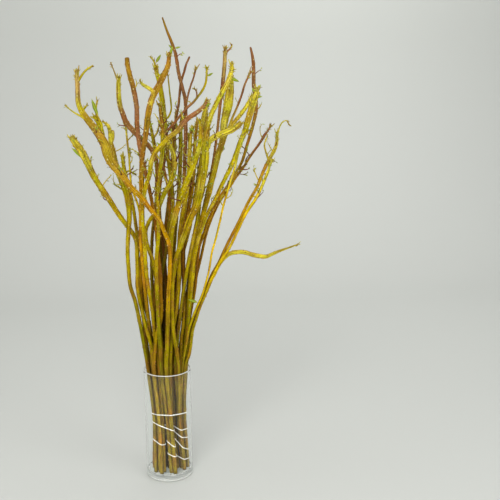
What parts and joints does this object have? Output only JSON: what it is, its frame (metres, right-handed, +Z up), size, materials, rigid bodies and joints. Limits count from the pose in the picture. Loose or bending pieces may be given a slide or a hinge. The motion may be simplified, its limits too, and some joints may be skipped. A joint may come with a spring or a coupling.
{
  "type": "willow stems",
  "caption": "Fantail willow stems, round below and flattened to ribbons above, forked and budded, standing in a clear glass cylinder vase and held by rubber bands.",
  "frame": {"origin": "centre of the vase's flat foot, on the surface it stands on", "axes": "+Z up along the vase's axis; -Y towards the viewer of the picture, so +X is to the viewer's right"},
  "size_m": [0.4843, 0.2694, 1.015],
  "materials": {
    "vase_glass": "clear polished glass",
    "bark_yellow": "smooth yellow-green young bark",
    "bark_olive": "smooth olive young bark",
    "bark_brown": "smooth orange-brown young bark",
    "bark_red": "smooth red-brown young bark",
    "band_rubber": "matt off-white rubber"
  },
  "bodies": {
    "root": {"vase": "vase_glass", "stem_01_left_ribbon": "bark_yellow", "stem_02_curled_tip": "bark_olive", "stem_03_long_diagonal": "bark_yellow", "stem_04_bent_brown": "bark_brown", "stem_05_blunt_red": "bark_red", "stem_06_orange_ribbon": "bark_brown", "stem_07_tallest": "bark_red", "stem_08_thin_red": "bark_red", "stem_09_olive_ribbon": "bark_olive", "stem_10_dark_reacher": "bark_red", "stem_11_crossing_ribbon": "bark_brown", "stem_12_broad_ribbon": "bark_yellow", "stem_13_olive_lean": "bark_olive", "stem_14_curl_headed": "bark_brown", "stem_15_wide_yellow": "bark_yellow", "stem_16_split_pair": "bark_yellow", "stem_17_dark_spear": "bark_red", "stem_18_tufted_ribbon": "bark_olive", "stem_19_red_arrow": "bark_red", "stem_20_far_right": "bark_brown", "stem_21_curving_arm": "bark_yellow", "stem_22_thin_yellow": "bark_yellow", "stem_23_cut_stub": "bark_olive", "stem_24_thin_left": "bark_yellow", "stem_25_pale_centre": "bark_yellow", "stem_26_back_centre": "bark_olive", "stem_27_back_right": "bark_brown", "stem_28_back_left": "bark_olive", "stem_29_back_middle": "bark_brown", "stem_30_front_right": "bark_yellow", "stem_31_front_left": "bark_olive", "stem_32_centre": "bark_brown", "stem_33_centre_left": "bark_olive", "stem_34_left": "bark_brown", "stem_35_centre_right": "bark_yellow", "stem_36_back": "bark_yellow", "stem_37_right_mid": "bark_olive", "stem_38_right_back": "bark_yellow", "band_main": "band_rubber", "band_left_upper": "band_rubber", "band_right_upper": "band_rubber", "band_right_middle": "band_rubber", "band_left": "band_rubber", "band_front": "band_rubber", "band_right": "band_rubber", "band_front_low": "band_rubber", "band_right_low": "band_rubber"}
  },
  "joints": []
}
